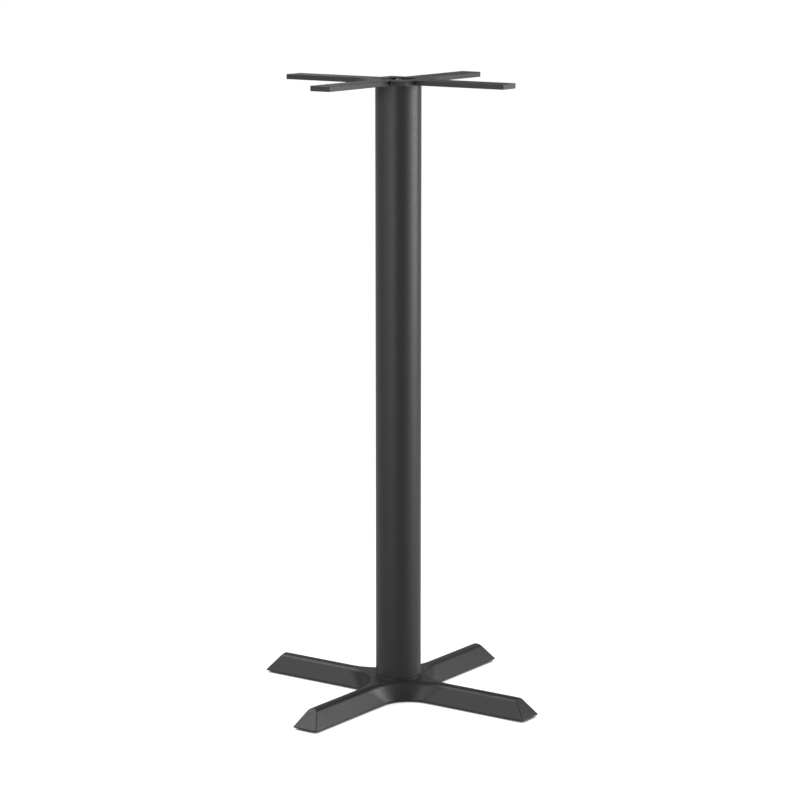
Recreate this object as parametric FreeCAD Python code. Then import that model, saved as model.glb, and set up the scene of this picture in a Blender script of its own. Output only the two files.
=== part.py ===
import FreeCAD, Part
import math
import os

# Bar-height pedestal base for a table: a cast four-arm star, a round tube and a cast four-arm spider,
# pulled together by one tie rod that runs from the star's underside to a well in the spider.
# Millimetres, +Z up. The origin is on the floor under the column, and the arms lie along X and Y.

# Whole stand
STAND_HEIGHT = 1040.0

# Star base, one iron casting
BASE_SPAN = 534.0
ARM_HEIGHT = 31.0
ARM_FOOT_WIDTH = 49.0
ARM_TOP_WIDTH = 14.0
ARM_END_ANGLE = 49.8
ARM_EDGE_RADIUS = 10.0
ARM_RIM_RADIUS = 1.5
HUB_SHOULDER = 10.8
HUB_FLARE = 3.3
HUB_EDGE_RADIUS = 2.5
CASTING_WALL = 5.0
CASTING_ROOF = 6.0
CASTING_INNER_RADIUS = 3.0
SEAT_HEIGHT = 2.0
SEAT_LEDGE = 1.2
SEAT_EDGE_RADIUS = 1.1
HUB_BOSS_DEPTH = 5.0
HUB_BOSS_MARGIN = 8.0

# Column, steel tube
COLUMN_DIAMETER = 76.0
COLUMN_WALL = 2.0
COLUMN_EDGE_BREAK = 0.4

# Spigots that centre the column on the star and under the spider
SPIGOT_CLEARANCE = 0.25
SPIGOT_HEIGHT = 10.0
SPIGOT_WALL = 6.0
SPIGOT_LEAD_IN = 1.5

# Spider, one iron casting
SPIDER_SPAN = 431.0
SPIDER_BAR_WIDTH = 38.0
SPIDER_THICKNESS = 8.5
SPIDER_HUB_OVERHANG = 10.0
SPIDER_CORNER_RADIUS = 2.0
SPIDER_EDGE_RADIUS = 0.8
CUP_DEPTH = 18.0
CUP_WALL = 7.2
CUP_FLOOR = 7.0
CUP_DRAFT = 1.5
SCREW_HOLE_DIAMETER = 7.0
SCREW_END_MARGIN = 20.0
SCREW_HOLE_SPACING = 65.0

# Tie rod and its fastenings
ROD_DIAMETER = 10.0
ROD_HOLE_CLEARANCE = 0.5
ROD_TOP_RECESS = 0.4
ROD_FOOT_REACH = 3.0
ROD_POINT = 1.0
THREAD_CLEARANCE = 0.05
NUT_FLATS = 16.0
NUT_HEIGHT = 8.4
NUT_CHAMFER_ANGLE = 30.0
WASHER_DIAMETER = 30.0
WASHER_THICKNESS = 2.5
LOCK_WASHER_DIAMETER = 18.0
LOCK_WASHER_THICKNESS = 2.5
LOCK_WASHER_SLIT = 1.5

# Levelling glides, one under each arm's end
GLIDE_INSET = 41.0
GLIDE_PROJECTION = 3.0
GLIDE_PAD_HEIGHT = 8.0
GLIDE_PAD_ROOM = 3.9
GLIDE_PAD_TREAD = 1.5
GLIDE_PAD_SHOULDER = 1.2
GLIDE_STUD_DIAMETER = 8.0
GLIDE_STUD_LENGTH = 18.0
GLIDE_STUD_POINT = 1.0
GLIDE_HEAD_MARGIN = 3.0
GLIDE_HEAD_HEIGHT = 3.0
GLIDE_HEAD_COVER = 2.5
GLIDE_BOSS_WALL = 5.5
GLIDE_HOLE_SPARE = 2.0

# Cutting tools reach this far past the metal that they cut
OVERCUT = 20.0
# Added metal reaches this far into the metal that it joins
OVERLAP = 0.5
# Largest share of a narrow face that the roundings of its edges may take
EDGE_SHARE = 0.9

# Levels, from the floor up
FOOT_Z = GLIDE_PROJECTION
ARM_TOP_Z = FOOT_Z + ARM_HEIGHT
ROOF_Z = ARM_TOP_Z - CASTING_ROOF
SEAT_Z = ARM_TOP_Z + SEAT_HEIGHT
HUB_BOSS_Z = ROOF_Z - HUB_BOSS_DEPTH
SPIDER_Z = STAND_HEIGHT - SPIDER_THICKNESS
CUP_FLOOR_Z = SPIDER_Z - CUP_DEPTH + CUP_FLOOR
ROD_TOP_Z = STAND_HEIGHT - ROD_TOP_RECESS

# Radii and half widths
COLUMN_RADIUS = COLUMN_DIAMETER / 2
SPIGOT_RADIUS = COLUMN_RADIUS - COLUMN_WALL - SPIGOT_CLEARANCE
SEAT_RADIUS = COLUMN_RADIUS + SEAT_LEDGE
WAIST_TOP = SEAT_RADIUS + HUB_SHOULDER
WAIST_FOOT = WAIST_TOP + HUB_FLARE
ROD_RADIUS = ROD_DIAMETER / 2
ROD_HOLE_RADIUS = ROD_RADIUS + ROD_HOLE_CLEARANCE
ROD_THREAD_RADIUS = ROD_RADIUS + THREAD_CLEARANCE
STUD_RADIUS = GLIDE_STUD_DIAMETER / 2
GLIDE_CIRCLE_RADIUS = BASE_SPAN / 2 - GLIDE_INSET
SPIDER_HUB_HALF = COLUMN_RADIUS + SPIDER_HUB_OVERHANG

# Slopes of the star's arms: sideways run of each face for each millimetre of height
SIDE_RUN = (ARM_FOOT_WIDTH - ARM_TOP_WIDTH) / 2 / ARM_HEIGHT
END_RUN = 1 / math.tan(math.radians(ARM_END_ANGLE))
WAIST_RUN = (WAIST_FOOT - WAIST_TOP) / ARM_HEIGHT

# Outline corners lie on the diagonal between two arms
DIAGONAL = math.sqrt(0.5)

ARM_NAMES = ("front_right", "rear_right", "rear_left", "front_left")
QUARTER_TURN = 90.0
FULL_TURN = 360.0
HEX_SIDES = 6
LEVEL_TOLERANCE = 1e-5

ORIGIN = FreeCAD.Vector(0, 0, 0)
UP = FreeCAD.Vector(0, 0, 1)


def point(x, y, z=0.0):
    """A point, or a direction, in the part's frame."""
    return FreeCAD.Vector(x, y, z)


def turned(shape, quarters):
    """A copy of the shape turned about the column by a number of quarter turns."""
    copy = shape.copy()
    copy.rotate(ORIGIN, UP, QUARTER_TURN * quarters)
    return copy


def around(shape):
    """The shape once on each of the four arms."""
    return [turned(shape, quarter) for quarter in range(len(ARM_NAMES))]


def rod(radius, low, high, x=0.0):
    """An upright cylinder between two levels, on the column's axis or out along +X."""
    return Part.makeCylinder(radius, high - low, point(x, 0, low))


def ring(outer, inner, low, high):
    """An upright ring on the column's axis."""
    return rod(outer, low, high).cut(rod(inner, low, high))


def revolved(outline, x=0.0):
    """A closed outline of (radius, level) pairs turned about an upright axis at x."""
    corners = [point(radius, 0, level) for radius, level in outline]
    face = Part.Face(Part.makePolygon(corners + corners[:1]))
    solid = face.revolve(ORIGIN, UP, FULL_TURN)
    solid.translate(point(x, 0))
    return solid


def edges_at(shape, level):
    """The edges of a shape that lie flat at one level."""
    return [
        edge for edge in shape.Edges
        if abs(edge.BoundBox.ZMin - level) < LEVEL_TOLERANCE
        and abs(edge.BoundBox.ZMax - level) < LEVEL_TOLERANCE
    ]


def on_arm_end(vertex):
    """Whether a corner of the star lies in the slanted plane that ends an arm."""
    reach = max(abs(vertex.X), abs(vertex.Y))
    return abs(reach + END_RUN * (vertex.Z - FOOT_Z) - BASE_SPAN / 2) < LEVEL_TOLERANCE


def upright_edges(shape):
    """The straight edges of a shape that stand upright."""
    return [
        edge for edge in shape.Edges
        if isinstance(edge.Curve, Part.Line) and abs(edge.Curve.Direction.z) > 1 - LEVEL_TOLERANCE
    ]


def corner_half(centre, first, last):
    """Half of a round hollow corner, an arc about its centre."""
    middle = (first + last) / 2 - centre
    return Part.Arc(first, centre + middle.normalize() * (first - centre).Length, last)


def star_outline(half_width, reach, waist, level):
    """A four-arm outline whose arms meet in round hollow corners.

    half_width is half an arm's width, reach the distance to its end, and waist the distance from
    the column's axis to the middle of each corner.
    """
    middle = waist * DIAGONAL
    corner_radius = (middle - half_width) / (1 - DIAGONAL)
    start = half_width + corner_radius
    right_root = point(start, -half_width, level)
    right_tip = point(reach, -half_width, level)
    left_tip = point(reach, half_width, level)
    left_root = point(start, half_width, level)
    corner = point(middle, middle, level)
    centre = point(start, start, level)
    next_root = point(half_width, start, level)
    arm = [
        Part.LineSegment(right_root, right_tip),
        Part.LineSegment(right_tip, left_tip),
        Part.LineSegment(left_tip, left_root),
        corner_half(centre, left_root, corner),
        corner_half(centre, corner, next_root),
    ]
    edges = [
        turned(curve.toShape(), quarter)
        for quarter in range(len(ARM_NAMES))
        for curve in arm
    ]
    return Part.Wire(Part.__sortEdges__(edges))


def top_radius(vertex, arm_radius):
    """The radius of the star's upper edge at one of its corners: narrow where two arms meet."""
    where_arms_meet = abs(abs(vertex.X) - abs(vertex.Y)) < LEVEL_TOLERANCE
    return HUB_EDGE_RADIUS if where_arms_meet else arm_radius


def round_top(solid, arm_radius):
    """The star with its long upper edges rounded, wide along the arms and narrowing towards the hub."""
    bench = FreeCAD.newDocument()
    blank = bench.addObject("Part::Feature", "blank")
    blank.Shape = solid
    rounded = bench.addObject("Part::Fillet", "rounded")
    rounded.Base = blank
    long_edges = [edge for edge in edges_at(solid, ARM_TOP_Z) if edge.Length > ARM_FOOT_WIDTH]
    rounded.Edges = [
        (number, *[top_radius(vertex, arm_radius) for vertex in edge.Vertexes])
        for number, edge in enumerate(solid.Edges, start=1)
        if any(edge.isSame(long_edge) for long_edge in long_edges)
    ]
    bench.recompute()
    return rounded.Shape


def star_skin():
    """The star's outer form: drafted arms with rounded edges and slanted flat ends."""
    uncut_reach = BASE_SPAN / 2 + OVERCUT
    foot = star_outline(ARM_FOOT_WIDTH / 2, uncut_reach, WAIST_FOOT, FOOT_Z)
    top = star_outline(ARM_TOP_WIDTH / 2, uncut_reach, WAIST_TOP, ARM_TOP_Z)
    skin = Part.makeLoft([foot, top], True, True)

    side_angle = math.atan2(1, SIDE_RUN)
    room = EDGE_SHARE * ARM_TOP_WIDTH / 2 / math.tan(side_angle / 2)
    skin = round_top(skin, min(ARM_EDGE_RADIUS, room))

    tip = BASE_SPAN / 2
    rise = ARM_HEIGHT + OVERCUT
    slant = [
        point(tip, -ARM_FOOT_WIDTH, FOOT_Z),
        point(uncut_reach + OVERCUT, -ARM_FOOT_WIDTH, FOOT_Z),
        point(uncut_reach + OVERCUT, -ARM_FOOT_WIDTH, FOOT_Z + rise),
        point(tip - END_RUN * rise, -ARM_FOOT_WIDTH, FOOT_Z + rise),
    ]
    wedge = Part.Face(Part.makePolygon(slant + slant[:1])).extrude(point(0, 2 * ARM_FOOT_WIDTH))
    skin = skin.cut(around(wedge))

    foot_edges = edges_at(skin, FOOT_Z)
    end_edges = [
        edge for edge in skin.Edges
        if edge.BoundBox.ZMax > FOOT_Z + LEVEL_TOLERANCE
        and all(on_arm_end(vertex) for vertex in edge.Vertexes)
    ]
    return skin.makeFillet(ARM_RIM_RADIUS, foot_edges + end_edges)


def star_hollow():
    """The open channel under the star, one wall thickness inside its faces, with a rounded roof."""
    side_wall = CASTING_WALL * math.hypot(1, SIDE_RUN)
    end_wall = CASTING_WALL * math.hypot(1, END_RUN)
    waist_wall = CASTING_WALL * math.hypot(1, WAIST_RUN)
    depth = ROOF_Z - FOOT_Z
    wires = [
        star_outline(
            ARM_FOOT_WIDTH / 2 - side_wall - SIDE_RUN * height,
            BASE_SPAN / 2 - end_wall - END_RUN * height,
            WAIST_FOOT - waist_wall - WAIST_RUN * height,
            FOOT_Z + height,
        )
        for height in (0.0, depth)
    ]
    hollow = Part.makeLoft(wires, True, True)
    return hollow.makeFillet(CASTING_INNER_RADIUS, edges_at(hollow, ROOF_Z))


def star_base():
    """The base casting: hollow star, column seat, centring spigot, hub boss and glide bosses."""
    skin = star_skin()
    body = skin.cut(star_hollow())

    seat = rod(SEAT_RADIUS, ROOF_Z, SEAT_Z)
    seat = seat.makeFillet(SEAT_EDGE_RADIUS, edges_at(seat, SEAT_Z))
    spigot_top = SEAT_Z + SPIGOT_HEIGHT
    spigot = ring(SPIGOT_RADIUS, SPIGOT_RADIUS - SPIGOT_WALL, ROOF_Z, spigot_top)
    spigot = spigot.makeChamfer(SPIGOT_LEAD_IN, edges_at(spigot, spigot_top))
    hub_boss = rod(WASHER_DIAMETER / 2 + HUB_BOSS_MARGIN, HUB_BOSS_Z, ARM_TOP_Z)
    boss_top = ROOF_Z + OVERLAP
    glide_boss = rod(STUD_RADIUS + GLIDE_BOSS_WALL, GLIDE_PAD_HEIGHT, boss_top, GLIDE_CIRCLE_RADIUS)
    glide_bosses = [boss.common(skin) for boss in around(glide_boss)]
    body = body.fuse([seat, spigot, hub_boss] + glide_bosses)

    rod_hole = rod(ROD_HOLE_RADIUS, FOOT_Z, spigot_top)
    hole_top = GLIDE_PAD_HEIGHT + GLIDE_STUD_LENGTH + GLIDE_HOLE_SPARE
    stud_hole = rod(STUD_RADIUS + THREAD_CLEARANCE, FOOT_Z, hole_top, GLIDE_CIRCLE_RADIUS)
    return body.cut([rod_hole] + around(stud_hole)).removeSplitter()


def column_tube():
    """The round tube that stands on the star's seat and carries the spider."""
    tube = ring(COLUMN_RADIUS, COLUMN_RADIUS - COLUMN_WALL, SEAT_Z, SPIDER_Z)
    ends = edges_at(tube, SEAT_Z) + edges_at(tube, SPIDER_Z)
    return tube.makeChamfer(COLUMN_EDGE_BREAK, ends)


def spider_plate():
    """The spider's flat cross with a square hub, its corners and edges rounded."""
    bar_corner = point(-SPIDER_SPAN / 2, -SPIDER_BAR_WIDTH / 2, SPIDER_Z)
    bar = Part.makeBox(SPIDER_SPAN, SPIDER_BAR_WIDTH, SPIDER_THICKNESS, bar_corner)
    hub_side = 2 * SPIDER_HUB_HALF
    hub_corner = point(-SPIDER_HUB_HALF, -SPIDER_HUB_HALF, SPIDER_Z)
    hub = Part.makeBox(hub_side, hub_side, SPIDER_THICKNESS, hub_corner)
    plate = hub.fuse([bar, turned(bar, 1)]).removeSplitter()
    plate = plate.makeFillet(SPIDER_CORNER_RADIUS, upright_edges(plate))
    rims = edges_at(plate, SPIDER_Z) + edges_at(plate, STAND_HEIGHT)
    return plate.makeFillet(SPIDER_EDGE_RADIUS, rims)


def top_spider():
    """The top casting: cross plate, cup that centres the column, nut well and screw holes."""
    cup_bottom = SPIDER_Z - CUP_DEPTH
    cup = rod(SPIGOT_RADIUS, cup_bottom, SPIDER_Z + SPIDER_THICKNESS / 2)
    cup = cup.makeChamfer(SPIGOT_LEAD_IN, edges_at(cup, cup_bottom))
    well_radius = SPIGOT_RADIUS - CUP_WALL
    well = revolved([
        (0, CUP_FLOOR_Z),
        (well_radius - CUP_DRAFT, CUP_FLOOR_Z),
        (well_radius, STAND_HEIGHT),
        (0, STAND_HEIGHT),
    ])
    rod_hole = rod(ROD_HOLE_RADIUS, cup_bottom, STAND_HEIGHT)
    outer_hole = SPIDER_SPAN / 2 - SCREW_END_MARGIN
    screw_holes = [
        hole
        for place in (outer_hole, outer_hole - SCREW_HOLE_SPACING)
        for hole in around(rod(SCREW_HOLE_DIAMETER / 2, SPIDER_Z, STAND_HEIGHT, place))
    ]
    return spider_plate().fuse(cup).cut([well, rod_hole] + screw_holes).removeSplitter()


def tie_rod():
    """The threaded rod that clamps the column between the two castings."""
    low = base_stack()["nut"] - ROD_FOOT_REACH
    bar = rod(ROD_RADIUS, low, ROD_TOP_Z)
    return bar.makeChamfer(ROD_POINT, edges_at(bar, low) + edges_at(bar, ROD_TOP_Z))


def base_stack():
    """The undersides of the washer, lock washer and nut that hang under the star's hub."""
    washer = HUB_BOSS_Z - WASHER_THICKNESS
    lock_washer = washer - LOCK_WASHER_THICKNESS
    return {"washer": washer, "lock_washer": lock_washer, "nut": lock_washer - NUT_HEIGHT}


def well_stack():
    """The undersides of the washer, lock washer and nut that stand in the spider's well."""
    lock_washer = CUP_FLOOR_Z + WASHER_THICKNESS
    return {"washer": CUP_FLOOR_Z, "lock_washer": lock_washer, "nut": lock_washer + LOCK_WASHER_THICKNESS}


def flat_washer(low):
    """A plain washer with its underside at a level."""
    return ring(WASHER_DIAMETER / 2, ROD_HOLE_RADIUS, low, low + WASHER_THICKNESS)


def lock_washer(low):
    """A split spring washer, pressed flat, with its underside at a level."""
    high = low + LOCK_WASHER_THICKNESS
    washer = ring(LOCK_WASHER_DIAMETER / 2, ROD_THREAD_RADIUS, low, high)
    slit = Part.makeBox(
        LOCK_WASHER_DIAMETER, LOCK_WASHER_SLIT, LOCK_WASHER_THICKNESS, point(0, -LOCK_WASHER_SLIT / 2, low)
    )
    return washer.cut(slit)


def hex_nut(low):
    """A hexagon nut with both faces chamfered, its underside at a level."""
    corner = NUT_FLATS / 2 / math.cos(math.pi / HEX_SIDES)
    corners = [
        point(corner * math.cos(turn), corner * math.sin(turn), low)
        for turn in (2 * math.pi * side / HEX_SIDES for side in range(HEX_SIDES))
    ]
    prism = Part.Face(Part.makePolygon(corners + corners[:1])).extrude(UP * NUT_HEIGHT)
    drop = (corner - NUT_FLATS / 2) * math.tan(math.radians(NUT_CHAMFER_ANGLE))
    high = low + NUT_HEIGHT
    turned_form = revolved([
        (0, low), (NUT_FLATS / 2, low), (corner, low + drop),
        (corner, high - drop), (NUT_FLATS / 2, high), (0, high),
    ])
    return prism.common(turned_form).cut(rod(ROD_THREAD_RADIUS, low, high))


def glide_stud():
    """The glide's steel stud on the +X arm, with a head that the pad is moulded round."""
    top = GLIDE_PAD_HEIGHT + GLIDE_STUD_LENGTH
    head_radius = STUD_RADIUS + GLIDE_HEAD_MARGIN
    head_top = GLIDE_HEAD_COVER + GLIDE_HEAD_HEIGHT
    return revolved([
        (0, GLIDE_HEAD_COVER),
        (head_radius, GLIDE_HEAD_COVER),
        (head_radius, head_top),
        (STUD_RADIUS, head_top),
        (STUD_RADIUS, top - GLIDE_STUD_POINT),
        (STUD_RADIUS - GLIDE_STUD_POINT, top),
        (0, top),
    ], GLIDE_CIRCLE_RADIUS)


def glide_pad():
    """The glide's nylon pad on the +X arm, with a chamfered tread and shoulder."""
    boss_height = GLIDE_PAD_HEIGHT - FOOT_Z
    side_wall = CASTING_WALL * math.hypot(1, SIDE_RUN)
    channel = ARM_FOOT_WIDTH / 2 - side_wall - SIDE_RUN * boss_height
    radius = channel - GLIDE_PAD_ROOM
    pad = rod(radius, 0, GLIDE_PAD_HEIGHT, GLIDE_CIRCLE_RADIUS)
    pad = pad.makeChamfer(GLIDE_PAD_TREAD, edges_at(pad, 0))
    pad = pad.makeChamfer(GLIDE_PAD_SHOULDER, edges_at(pad, GLIDE_PAD_HEIGHT))
    return pad.cut(glide_stud())


def build():
    """Every piece of the stand, by name."""
    base_levels = base_stack()
    well_levels = well_stack()
    pieces = {
        "star_base": star_base(),
        "column_tube": column_tube(),
        "top_spider": top_spider(),
        "tie_rod": tie_rod(),
        "base_washer": flat_washer(base_levels["washer"]),
        "base_lock_washer": lock_washer(base_levels["lock_washer"]),
        "base_nut": hex_nut(base_levels["nut"]),
        "well_washer": flat_washer(well_levels["washer"]),
        "well_lock_washer": lock_washer(well_levels["lock_washer"]),
        "well_nut": hex_nut(well_levels["nut"]),
    }
    for name, stud, pad in zip(ARM_NAMES, around(glide_stud()), around(glide_pad())):
        pieces["glide_stud_" + name] = stud
        pieces["glide_pad_" + name] = pad
    return pieces


os.makedirs("parts", exist_ok=True)
for name, shape in build().items():
    shape.exportStep("parts/" + name + ".step")
    print(name, "valid" if shape.isValid() else "NOT VALID", len(shape.Solids), round(shape.Volume))
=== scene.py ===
import logging
import math
from dataclasses import dataclass
from enum import Enum

import bpy
import numpy as np
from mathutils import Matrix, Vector


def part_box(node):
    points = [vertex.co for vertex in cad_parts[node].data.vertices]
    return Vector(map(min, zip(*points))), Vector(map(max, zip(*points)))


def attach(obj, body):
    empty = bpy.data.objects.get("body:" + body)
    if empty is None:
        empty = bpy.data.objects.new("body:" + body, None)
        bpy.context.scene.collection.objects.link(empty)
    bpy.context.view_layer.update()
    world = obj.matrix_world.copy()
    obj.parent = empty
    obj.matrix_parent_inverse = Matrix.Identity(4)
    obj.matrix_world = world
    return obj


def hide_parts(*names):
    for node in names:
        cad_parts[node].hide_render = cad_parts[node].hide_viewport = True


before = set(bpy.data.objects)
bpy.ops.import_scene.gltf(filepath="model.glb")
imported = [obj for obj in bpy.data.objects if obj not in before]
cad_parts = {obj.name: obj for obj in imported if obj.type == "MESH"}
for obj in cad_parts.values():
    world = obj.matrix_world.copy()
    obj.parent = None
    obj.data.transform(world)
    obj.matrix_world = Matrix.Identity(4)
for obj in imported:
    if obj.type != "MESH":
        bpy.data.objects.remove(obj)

# Looks of a bar-height pedestal table base: a cast star foot, a round column, a cast cross spider,
# a threaded tie rod and four screw-in levelling glides. Metres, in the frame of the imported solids.

LOG = logging.getLogger("table_base")
MM = 0.001

# Most of a noise texture's values lie between these
NOISE_LOW = 0.3
NOISE_HIGH = 0.7

# Sockets of a colour Mix node, which share their names with those of its other data types
MIX_FIRST = 6
MIX_SECOND = 7
MIX_RESULT = 2

# Edges that turn by more degrees than this are shaded as sharp
SHARP_ANGLE = 35.0

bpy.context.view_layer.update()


class Arm(Enum):
    """The star's arms, named by where they point in the photograph."""

    FRONT_RIGHT = "front_right"
    REAR_RIGHT = "rear_right"
    REAR_LEFT = "rear_left"
    FRONT_LEFT = "front_left"


class Slot(Enum):
    """A material slot of the record; the pieces added here don't use it."""

    ZINC = "zinc_steel"


class Graph:
    """A material's node tree, with short calls to add and join its nodes."""

    def __init__(self, name: str) -> None:
        """Makes an empty material with a Principled surface.

        Args:
            name: The material's name.
        """
        self.material = bpy.data.materials.new(name)
        self.material.use_nodes = True
        self.tree = self.material.node_tree
        self.shader = self.tree.nodes["Principled BSDF"]
        self.coordinates = self.add("ShaderNodeTexCoord").outputs["Object"]

    def add(self, kind: str, **values: object) -> bpy.types.Node:
        """Adds a node and sets its sockets and properties.

        Args:
            kind: The node's type name.
            values: Socket values by name, with _ for a space, or node properties in lower case.

        Returns:
            The new node.
        """
        node = self.tree.nodes.new(kind)
        for key, value in values.items():
            socket = node.inputs.get(key.replace("_", " "))
            if socket is None:
                setattr(node, key, value)
            elif isinstance(value, bpy.types.NodeSocket):
                self.tree.links.new(value, socket)
            else:
                socket.default_value = value
        return node

    def noise(self, grain: float, detail: float = 2.0) -> bpy.types.NodeSocket:
        """Noise with features of about one grain size.

        Args:
            grain: Size of a feature, in metres.
            detail: Octaves of finer noise on top.

        Returns:
            The noise's value socket, from 0 to 1.
        """
        scale = 1.0 / grain
        node = self.add("ShaderNodeTexNoise", Vector=self.coordinates, Scale=scale, Detail=detail)
        return node.outputs[0]

    def spread(self, value: bpy.types.NodeSocket, low: float, high: float) -> bpy.types.NodeSocket:
        """A noise value stretched to run between two numbers.

        Args:
            value: Noise socket, mostly between NOISE_LOW and NOISE_HIGH.
            low: Result where the noise is low.
            high: Result where the noise is high.

        Returns:
            The stretched value's socket.
        """
        node = self.add(
            "ShaderNodeMapRange",
            Value=value,
            From_Min=NOISE_LOW,
            From_Max=NOISE_HIGH,
            To_Min=low,
            To_Max=high,
        )
        return node.outputs[0]

    def blend(
        self, factor: bpy.types.NodeSocket, first: tuple, second: tuple
    ) -> bpy.types.NodeSocket:
        """A colour between two, by a factor.

        Args:
            factor: Socket from 0, the first colour, to 1, the second.
            first: Linear red, green and blue.
            second: Linear red, green and blue.

        Returns:
            The colour's socket.
        """
        node = self.add("ShaderNodeMix", data_type="RGBA")
        self.tree.links.new(factor, node.inputs["Factor"])
        node.inputs[MIX_FIRST].default_value = (*first, 1.0)
        node.inputs[MIX_SECOND].default_value = (*second, 1.0)
        return node.outputs[MIX_RESULT]

    def bump(self, *layers: tuple) -> bpy.types.NodeSocket:
        """A normal from several layers of relief, each on top of the last.

        Args:
            layers: Pairs of a height socket and a relief in metres.

        Returns:
            The normal's socket.
        """
        normal = None
        for height, relief in layers:
            node = self.add("ShaderNodeBump", Height=height, Distance=relief, Strength=1.0)
            if normal is not None:
                self.tree.links.new(normal, node.inputs["Normal"])
            normal = node.outputs[0]
        return normal

    def feed(self, **sockets: object) -> None:
        """Sets or links the Principled surface's sockets.

        Args:
            sockets: Values or sockets by name, with _ for a space.
        """
        for key, value in sockets.items():
            socket = self.shader.inputs[key.replace("_", " ")]
            if isinstance(value, bpy.types.NodeSocket):
                self.tree.links.new(value, socket)
            else:
                socket.default_value = value


@dataclass(frozen=True)
class PowderCoat:
    """Fine-textured, semi-matte black powder coat.

    The cured powder leaves a fine sandy grain on a wider orange peel. On a casting the metal
    underneath is a little uneven as well.
    """

    name: str
    dark: tuple = (0.0072, 0.0072, 0.0075)
    light: tuple = (0.0098, 0.0098, 0.0102)
    roughness: tuple = (0.41, 0.51)
    specular: float = 0.17
    grain: float = 0.9 * MM
    grain_octaves: float = 3.0
    grain_relief: float = 0.02 * MM
    peel: float = 3.5 * MM
    peel_relief: float = 0.03 * MM
    metal: float = 30 * MM
    metal_relief: float = 0.0

    def material(self) -> bpy.types.Material:
        """Lays the grain over the orange peel, and both over the uneven metal of a casting.

        Returns:
            The coat's material.
        """
        graph = Graph(self.name)
        grain = graph.noise(self.grain, self.grain_octaves)
        peel = graph.noise(self.peel)
        layers = [(peel, self.peel_relief), (grain, self.grain_relief)]
        if self.metal_relief:
            layers.insert(0, (graph.noise(self.metal), self.metal_relief))
        graph.feed(
            Base_Color=graph.blend(graph.spread(grain, 0.0, 1.0), self.dark, self.light),
            Roughness=graph.spread(peel, *self.roughness),
            Normal=graph.bump(*layers),
            Specular_IOR_Level=self.specular,
        )
        return graph.material


@dataclass(frozen=True)
class ZincPlate:
    """Dulled zinc on steel: a grey metal with faint clouds and fine scratches."""

    name: str
    dark: tuple = (0.24, 0.245, 0.255)
    light: tuple = (0.36, 0.365, 0.38)
    cloud: float = 6 * MM
    cloud_octaves: float = 4.0
    scratch: float = 0.4 * MM
    scratch_relief: float = 0.01 * MM
    roughness: tuple = (0.34, 0.5)

    def material(self) -> bpy.types.Material:
        """Clouds the metal's colour and roughness, and scratches it.

        Returns:
            The plate's material.
        """
        graph = Graph(self.name)
        cloud = graph.noise(self.cloud, self.cloud_octaves)
        scratch = graph.noise(self.scratch)
        graph.feed(
            Base_Color=graph.blend(graph.spread(cloud, 0.0, 1.0), self.dark, self.light),
            Roughness=graph.spread(cloud, *self.roughness),
            Normal=graph.bump((scratch, self.scratch_relief)),
            Metallic=1.0,
        )
        return graph.material


@dataclass(frozen=True)
class MouldedNylon:
    """Black nylon from a spark-eroded mould: dull, with a very fine grain."""

    name: str
    dark: tuple = (0.012, 0.012, 0.013)
    light: tuple = (0.024, 0.024, 0.026)
    grain: float = 0.5 * MM
    grain_octaves: float = 3.0
    grain_relief: float = 0.02 * MM
    cloud: float = 10 * MM
    roughness: tuple = (0.47, 0.63)

    def material(self) -> bpy.types.Material:
        """Clouds the nylon's colour, and gives its surface the mould's grain.

        Returns:
            The nylon's material.
        """
        graph = Graph(self.name)
        grain = graph.noise(self.grain, self.grain_octaves)
        cloud = graph.noise(self.cloud)
        graph.feed(
            Base_Color=graph.blend(graph.spread(cloud, 0.0, 1.0), self.dark, self.light),
            Roughness=graph.spread(grain, *self.roughness),
            Normal=graph.bump((grain, self.grain_relief)),
        )
        return graph.material


@dataclass(frozen=True)
class PaleFloor:
    """A plain white studio floor that glows like a light table, with a painted shadow under the stand."""

    name: str
    colour: tuple = (0.13, 0.13, 0.13)
    glow: tuple = (1.0, 1.0, 1.0)
    # Colour of the painted contact shadow under the stand
    painted_shadow_colour: tuple = (0.01, 0.01, 0.01)
    cover_reach: float = 0.10
    cover_samples: int = 8
    dim_below: float = 0.12
    bright_above: float = 0.65
    roughness: float = 0.9

    def material(self) -> bpy.types.Material:
        """Paints shadow into the floor's glow where something stands close over it, by ambient occlusion.

        Returns:
            The floor's material.
        """
        graph = Graph(self.name)
        # Painted contact shadow: ambient occlusion darkens the floor's glow towards the shadow colour
        # under the stand
        cover = graph.add(
            "ShaderNodeAmbientOcclusion", Distance=self.cover_reach, samples=self.cover_samples
        )
        unshaded_share = graph.add(
            "ShaderNodeMapRange",
            Value=cover.outputs["AO"],
            From_Min=self.dim_below,
            From_Max=self.bright_above,
        ).outputs[0]
        graph.feed(
            Base_Color=(*self.colour, 1.0),
            Roughness=self.roughness,
            Specular_IOR_Level=0.0,
            Emission_Color=graph.blend(unshaded_share, self.painted_shadow_colour, self.glow),
            Emission_Strength=1.0,
        )
        return graph.material


def dress(node: str, material: bpy.types.Material) -> None:
    """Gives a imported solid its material.

    Args:
        node: The solid's name.
        material: The material for all its faces.
    """
    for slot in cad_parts[node].material_slots:
        slot.material = material
    LOG.info("%s wears %s", node, material.name)


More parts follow.
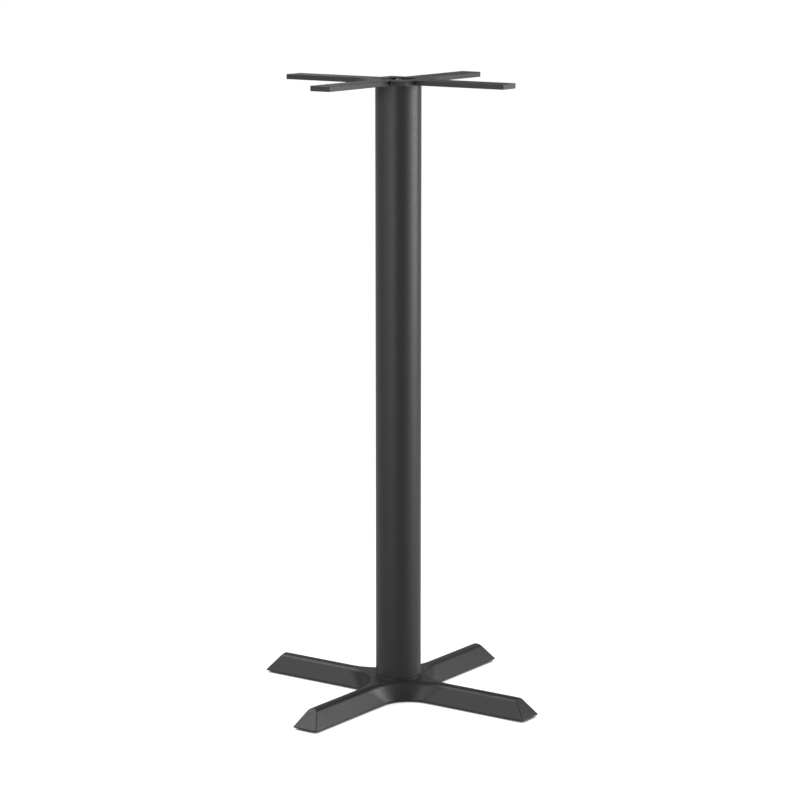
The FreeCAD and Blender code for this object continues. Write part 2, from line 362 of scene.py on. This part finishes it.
def turned_piece(
    name: str, centre: Vector, levels: np.ndarray, radii: np.ndarray
) -> bpy.types.Object:
    """A closed piece turned about an upright axis.

    Point (i, j) of the grid stands at level i and at angle 2 pi j / n round the axis, at radius
    r(i, j) from it. The first and last rows are closed by a fan to a point on the axis.

    Args:
        name: The piece's name.
        centre: A point on the axis.
        levels: Heights of the rows, upwards.
        radii: Radius of each grid point, rows by columns.

    Returns:
        The new object, at the origin.
    """
    rows, columns = radii.shape
    angle = 2 * np.pi * np.arange(columns) / columns
    grid = np.stack(
        [
            centre.x + radii * np.cos(angle),
            centre.y + radii * np.sin(angle),
            np.broadcast_to(levels[:, None], radii.shape),
        ],
        axis=-1,
    ).reshape(-1, 3)
    poles = np.array([[centre.x, centre.y, levels[0]], [centre.x, centre.y, levels[-1]]])
    index = np.arange(rows * columns).reshape(rows, columns)
    after = np.roll(index, -1, axis=1)
    sides = np.stack([index[:-1], after[:-1], after[1:], index[1:]], axis=-1).reshape(-1, 4)
    low_pole, high_pole = rows * columns, rows * columns + 1
    low_fan = np.stack([after[0], index[0], np.full(columns, low_pole)], axis=-1)
    high_fan = np.stack([index[-1], after[-1], np.full(columns, high_pole)], axis=-1)
    mesh = bpy.data.meshes.new(name)
    faces = sides.tolist() + low_fan.tolist() + high_fan.tolist()
    mesh.from_pydata(np.concatenate([grid, poles]).tolist(), [], faces)
    mesh.shade_smooth()
    mesh.set_sharp_from_angle(angle=math.radians(SHARP_ANGLE))
    piece = bpy.data.objects.new(name, mesh)
    bpy.context.scene.collection.objects.link(piece)
    return piece


@dataclass(frozen=True)
class Thread:
    """A metric outside thread."""

    diameter: float
    pitch: float
    depth_share: float = 0.613
    rows_per_turn: int = 8
    columns: int = 48

    def rows(self, low: float, high: float) -> np.ndarray:
        """Levels of the grid rows over a threaded stretch.

        Args:
            low: Lower end of the stretch.
            high: Upper end of the stretch.

        Returns:
            Evenly spaced levels, both ends included.
        """
        return np.linspace(low, high, 1 + round(self.rows_per_turn * (high - low) / self.pitch))

    def radii(self, levels: np.ndarray, core: np.ndarray, weight: np.ndarray) -> np.ndarray:
        """Radius over the grid.

        At level z and turn t the groove's depth is a triangle wave of z / pitch - t, so it climbs by
        one pitch in each turn. The weight fades it out, and the core radius is what it is cut into.

        Args:
            levels: Heights of the rows.
            core: Outside radius of each row without its thread.
            weight: Share of the full depth in each row, from 0 to 1.

        Returns:
            Radii, rows by columns.
        """
        turn = np.arange(self.columns) / self.columns
        phase = np.mod(levels[:, None] / self.pitch - turn[None, :], 1.0)
        groove = 1.0 - np.abs(2.0 * phase - 1.0)
        depth = self.depth_share * self.pitch
        return core[:, None] - depth * weight[:, None] * groove


@dataclass
class StarFoot:
    """The cast star."""

    coat: PowderCoat = PowderCoat("star_powder_coat", metal_relief=0.12 * MM)

    def build(self) -> None:
        """Dresses the casting."""
        dress("star_base", self.coat.material())


@dataclass
class Column:
    """The steel tube."""

    coat: PowderCoat = PowderCoat("column_powder_coat")

    def build(self) -> None:
        """Dresses the tube."""
        dress("column_tube", self.coat.material())


@dataclass
class Spider:
    """The cast cross under the table top, with the fastenings in its well."""

    coat: PowderCoat = PowderCoat(
        "spider_powder_coat", grain_relief=0.008 * MM, peel_relief=0.012 * MM, metal_relief=0.02 * MM
    )
    plate: ZincPlate = ZincPlate("well_zinc_plate")

    def build(self) -> None:
        """Dresses the casting and its nut and washers."""
        dress("top_spider", self.coat.material())
        zinc = self.plate.material()
        for node in ("well_nut", "well_washer", "well_lock_washer"):
            dress(node, zinc)


@dataclass
class TieRod:
    """The rod that clamps the column, threaded at both ends, with the fastenings under the star's hub."""

    pitch: float = 1.5 * MM
    threaded_length: float = 45 * MM
    run_out: float = 4 * MM
    point: float = 1.0 * MM
    plate: ZincPlate = ZincPlate("tie_rod_zinc_plate")

    def levels(self, thread: Thread, low: float, high: float) -> np.ndarray:
        """Levels of the grid rows: close over both threads, and none on the plain shank between.

        Args:
            thread: The rod's thread.
            low: Lower end of the rod.
            high: Upper end of the rod.

        Returns:
            The levels, upwards.
        """
        foot = thread.rows(low, low + self.threaded_length)
        head = thread.rows(high - self.threaded_length, high)
        return np.concatenate([foot, head])

    def build(self) -> None:
        """Makes the threaded rod in place of the plain solid, and dresses the fastenings.

        Both ends are pointed: nearer to an end than the point's length, the radius shrinks by what is
        missing to that length. The thread has its full depth up to its run-out, over which it fades
        to nothing.
        """
        low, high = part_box("tie_rod")
        thread = Thread(high.x - low.x, self.pitch)
        levels = self.levels(thread, low.z, high.z)
        to_end = np.minimum(levels - low.z, high.z - levels)
        core = thread.diameter / 2 - np.clip(self.point - to_end, 0.0, None)
        weight = np.clip((self.threaded_length - to_end) / self.run_out, 0.0, 1.0)
        radii = thread.radii(levels, core, weight)
        piece = turned_piece("threaded_tie_rod", (low + high) / 2, levels, radii)
        zinc = self.plate.material()
        piece.data.materials.append(zinc)
        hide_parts("tie_rod")
        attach(piece, "stand")
        LOG.info("%s has %d faces", piece.name, len(piece.data.polygons))
        for node in ("base_nut", "base_washer", "base_lock_washer"):
            dress(node, zinc)


@dataclass
class LevellingGlide:
    """A screw-in glide: a threaded stud moulded into a nylon pad."""

    arm: Arm
    zinc: bpy.types.Material
    nylon: bpy.types.Material
    diameter: float = 8 * MM
    pitch: float = 1.25 * MM
    head_height: float = 3 * MM
    point: float = 1.0 * MM
    run_in: float = 1.5 * MM

    def build(self) -> None:
        """Makes the threaded stud in place of the plain solid, and dresses the pad.

        The head is a plain disc up to the neck. The thread above it deepens from nothing over the
        run-in, and the top is pointed as the tie rod's ends are.
        """
        place = self.arm.value
        low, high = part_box("glide_stud_" + place)
        thread = Thread(self.diameter, self.pitch)
        neck = low.z + self.head_height
        shank = thread.rows(neck, high.z)
        levels = np.concatenate([[low.z, neck], shank])
        head_radius = (high.x - low.x) / 2
        point = np.clip(self.point - (high.z - shank), 0.0, None)
        core = np.concatenate([[head_radius, head_radius], thread.diameter / 2 - point])
        weight = np.concatenate([[0.0, 0.0], np.clip((shank - neck) / self.run_in, 0.0, 1.0)])
        radii = thread.radii(levels, core, weight)
        piece = turned_piece("threaded_stud_" + place, (low + high) / 2, levels, radii)
        piece.data.materials.append(self.zinc)
        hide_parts("glide_stud_" + place)
        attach(piece, "glide_" + place)
        LOG.info("%s has %d faces", piece.name, len(piece.data.polygons))
        dress("glide_pad_" + place, self.nylon)


@dataclass(frozen=True)
class Softbox:
    """A soft rectangular studio light that looks at the column's axis, at the height of its aim."""

    name: str
    azimuth: float
    elevation: float
    width: float
    tall: float
    radiance: float
    distance: float = 3.0
    aim: float = 0.5

    def build(self, camera_azimuth: float) -> None:
        """Places the light.

        A flat light of radiance L and area A gives off pi L A watts.

        Args:
            camera_azimuth: The camera's own direction, in degrees, from which the light's is counted.
        """
        data = bpy.data.lights.new(self.name, "AREA")
        data.shape = "RECTANGLE"
        data.size = self.width
        data.size_y = self.tall
        data.energy = math.pi * self.radiance * self.width * self.tall
        light = bpy.data.objects.new(self.name, data)
        turn = math.radians(camera_azimuth + self.azimuth)
        tilt = math.radians(self.elevation)
        flat = math.cos(tilt)
        outward = Vector((math.sin(turn) * flat, -math.cos(turn) * flat, math.sin(tilt)))
        light.location = Vector((0.0, 0.0, self.aim)) + outward * self.distance
        light.rotation_euler = outward.to_track_quat("Z", "Y").to_euler()
        light.visible_camera = False
        bpy.context.scene.collection.objects.link(light)
        LOG.info("light %s at %s", self.name, [round(part, 2) for part in light.location])


@dataclass
class Studio:
    """Camera, floor and light.

    The camera stands where the photograph's did. That one looked level with a raised lens; this one
    looks down by the pitch that frames the stand the same way. The softboxes' places are given, and
    their radiances come from a least-squares fit to the photograph's greys.
    """

    azimuth: float = 35.0
    distance: float = 4.5667
    side_step: float = 0.0027
    eye_height: float = 1.353
    pitch: float = 10.494
    lens: float = 125.56
    sensor: float = 36.0
    floor_radius: float = 60.0
    floor_columns: int = 96
    world_radiance: float = 0.035
    floor: PaleFloor = PaleFloor("pale_studio_floor")
    lights: tuple = (
        Softbox("right_softbox", 86.0, 9.0, 1.65, 1.4, 24.7),
        Softbox("right_front_softbox", 60.0, 8.0, 1.3, 1.3, 4.9),
        Softbox("left_softbox", -92.0, 48.0, 3.5, 5.4, 15.4, distance=9.0, aim=0.0),
        Softbox("left_rear_softbox", -120.0, 42.0, 3.5, 3.5, 7.4, distance=9.0, aim=0.0),
        Softbox("right_rear_softbox", 150.0, 35.0, 1.3, 1.3, 2.2),
        Softbox("front_fill", -30.0, 8.0, 1.3, 1.3, 14.0),
        Softbox("left_front_fill", -60.0, 8.0, 1.3, 1.3, 4.6),
        Softbox("rear_wall_low", 180.0, 5.0, 2.6, 0.9, 0.32),
        Softbox("rear_wall_right", 160.0, 5.0, 1.6, 0.9, 0.47),
        Softbox("rear_wall_high", 180.0, 20.0, 1.8, 1.1, 0.35),
        Softbox("rear_wall_left", -165.0, 22.0, 1.4, 1.2, 0.76),
    )

    def place_camera(self) -> None:
        """Makes the camera and its lens."""
        data = bpy.data.cameras.new("photo_camera")
        data.sensor_width = self.sensor
        data.lens = self.lens
        camera = bpy.data.objects.new("photo_camera", data)
        turn = math.radians(self.azimuth)
        back = Vector((math.sin(turn), -math.cos(turn), 0.0))
        right = Vector((math.cos(turn), math.sin(turn), 0.0))
        up = Vector((0.0, 0.0, 1.0))
        camera.location = back * self.distance + right * self.side_step + up * self.eye_height
        tilt = math.radians(self.pitch)
        sight = -back * math.cos(tilt) - up * math.sin(tilt)
        camera.rotation_euler = sight.to_track_quat("-Z", "Y").to_euler()
        bpy.context.scene.collection.objects.link(camera)
        bpy.context.scene.camera = camera

    def lay_floor(self) -> None:
        """Makes the pale floor, a wide disc at the height of the glides' undersides.

        Point j of its rim stands at angle 2 pi j / n, at the floor's radius.
        """
        columns = self.floor_columns
        angle = 2 * np.pi * np.arange(columns) / columns
        rim = self.floor_radius * np.stack([np.cos(angle), np.sin(angle), np.zeros(columns)], axis=-1)
        mesh = bpy.data.meshes.new("studio_floor")
        mesh.from_pydata(rim.tolist(), [], [list(range(columns))])
        mesh.materials.append(self.floor.material())
        floor = bpy.data.objects.new("studio_floor", mesh)
        bpy.context.scene.collection.objects.link(floor)

    def light_room(self) -> None:
        """Places the softboxes in a room that gives little light but looks as pale as the floor."""
        world = bpy.data.worlds.new("studio_room")
        world.use_nodes = True
        tree = world.node_tree
        room = tree.nodes["Background"]
        room.inputs["Color"].default_value = (*self.floor.glow, 1.0)
        rays = tree.nodes.new("ShaderNodeLightPath")
        strength = tree.nodes.new("ShaderNodeMapRange")
        strength.inputs["To Min"].default_value = self.world_radiance
        tree.links.new(rays.outputs["Is Camera Ray"], strength.inputs["Value"])
        tree.links.new(strength.outputs[0], room.inputs["Strength"])
        bpy.context.scene.world = world
        for light in self.lights:
            light.build(self.azimuth)

    def build(self) -> None:
        """Sets up the studio."""
        bpy.context.scene.view_settings.view_transform = "Standard"
        self.place_camera()
        self.lay_floor()
        self.light_room()


def main() -> None:
    """Builds the stand's sub-assemblies and the studio in order."""
    logging.basicConfig(level=logging.INFO, format="%(message)s")
    StarFoot().build()
    Column().build()
    Spider().build()
    TieRod().build()
    zinc = ZincPlate("glide_zinc_plate").material()
    nylon = MouldedNylon("glide_nylon").material()
    for arm in Arm:
        LevellingGlide(arm, zinc, nylon).build()
    Studio().build()


if __name__ == "__main__":
    main()
